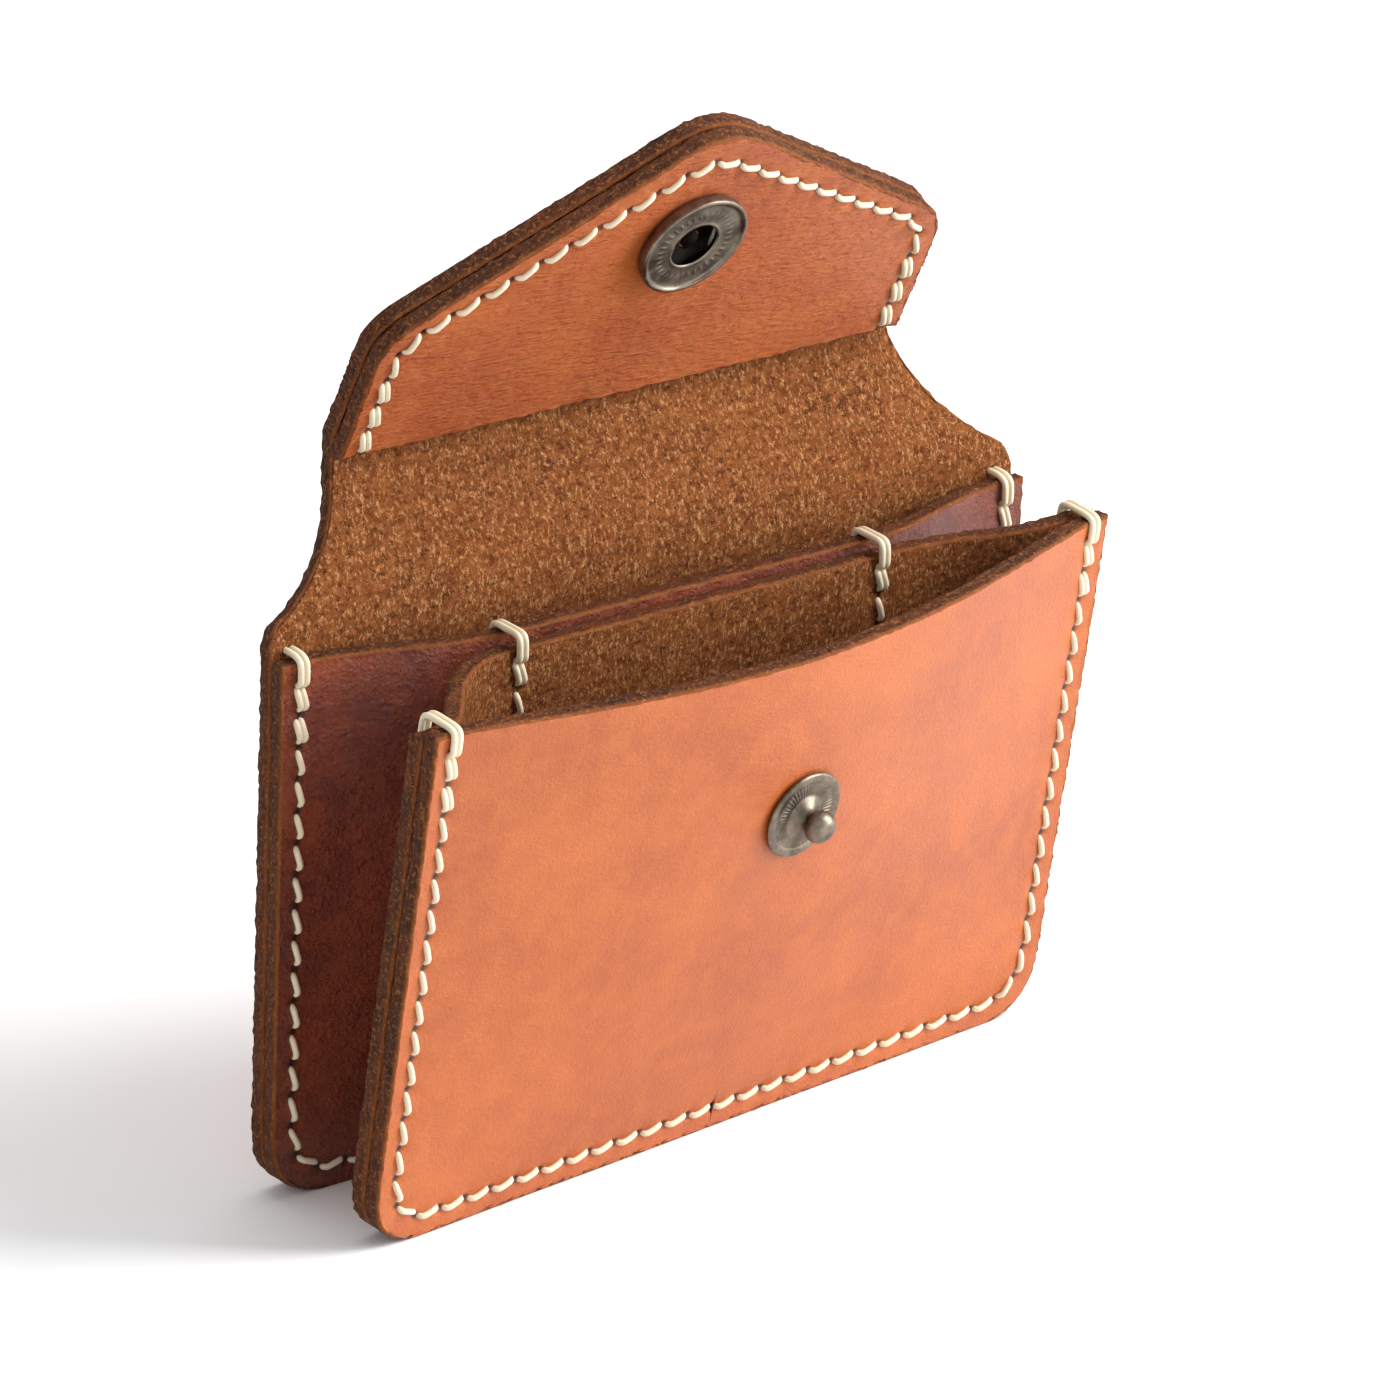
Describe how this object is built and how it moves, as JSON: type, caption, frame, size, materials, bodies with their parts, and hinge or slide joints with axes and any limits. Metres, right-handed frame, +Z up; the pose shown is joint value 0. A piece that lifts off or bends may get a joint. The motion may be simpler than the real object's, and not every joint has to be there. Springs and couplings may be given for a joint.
{
  "type": "card holder",
  "caption": "Leather card holder standing open: a rear pocket, a front pocket hung on it by sewn divider seams, and an envelope flap that folds over both and closes with a ring-spring snap.",
  "frame": {"origin": "bottom centre of the bounding box, on the surface the holder stands on", "axes": "+Z up, +Y towards the back panel, -Y towards the viewer of the snap, +X to that viewer's right"},
  "size_m": [0.109, 0.0412, 0.1241],
  "materials": {
    "tan_grain": "smooth grain, satin",
    "dark_grain": "smooth grain, glossy",
    "flesh_side": "flesh side, matt",
    "thread": "waxed twisted thread",
    "aged_brass": "antiqued, satin",
    "spring_steel": "drawn wire"
  },
  "bodies": {
    "rear_pocket": {"back_panel": "tan_grain", "rear_pocket_panel": "dark_grain", "rear_seam_thread": "thread", "divider_seam_left": "thread", "divider_seam_right": "thread"},
    "front_pocket": {"front_panel": "tan_grain", "pocket_liner": "flesh_side", "front_seam_thread": "thread"},
    "stud": {"snap_stud": "aged_brass", "stud_post": "aged_brass"},
    "neck": {"flap_neck": "tan_grain"},
    "flap": {"flap_panel": "tan_grain", "flap_lining": "tan_grain", "flap_seam_face_thread": "thread", "flap_seam_back_thread": "thread", "snap_cap": "aged_brass", "snap_socket": "aged_brass", "snap_spring": "spring_steel"}
  },
  "joints": [
    {"name": "flap_fold", "type": "hinge", "parent": "rear_pocket", "child": "neck", "pos_m": [-0.00052, 0.01215, 0.07048], "axis": [1, 0, 0], "range_deg": [0, 109.2]},
    {"name": "flap_tip_fold", "type": "hinge", "parent": "neck", "child": "flap", "pos_m": [-0.00052, 0.02009, 0.08675], "axis": [1, 0, 0], "range_deg": [0, 24.62]},
    {"name": "front_pocket_press", "type": "hinge", "parent": "rear_pocket", "child": "front_pocket", "pos_m": [0.04683, 0.00568, 0.003], "axis": [-0.7315, -0.0428, -0.6805], "range_deg": [0, 9.86], "deforming": ["pocket_liner"]},
    {"name": "stud_press", "type": "hinge", "parent": "front_pocket", "child": "stud", "pos_m": [-0.00046, -0.00046, 0.00275], "axis": [-0.9932, -0.1167, 0], "range_deg": [0, 2.71], "deforming": ["front_panel"]}
  ],
  "couplings": [
    {"joint": "flap_tip_fold", "follows": "flap_fold", "ratio": 0.225},
    {"joint": "front_pocket_press", "follows": "flap_fold", "ratio": 0.090038},
    {"joint": "stud_press", "follows": "flap_fold", "ratio": 0.024527}
  ]
}
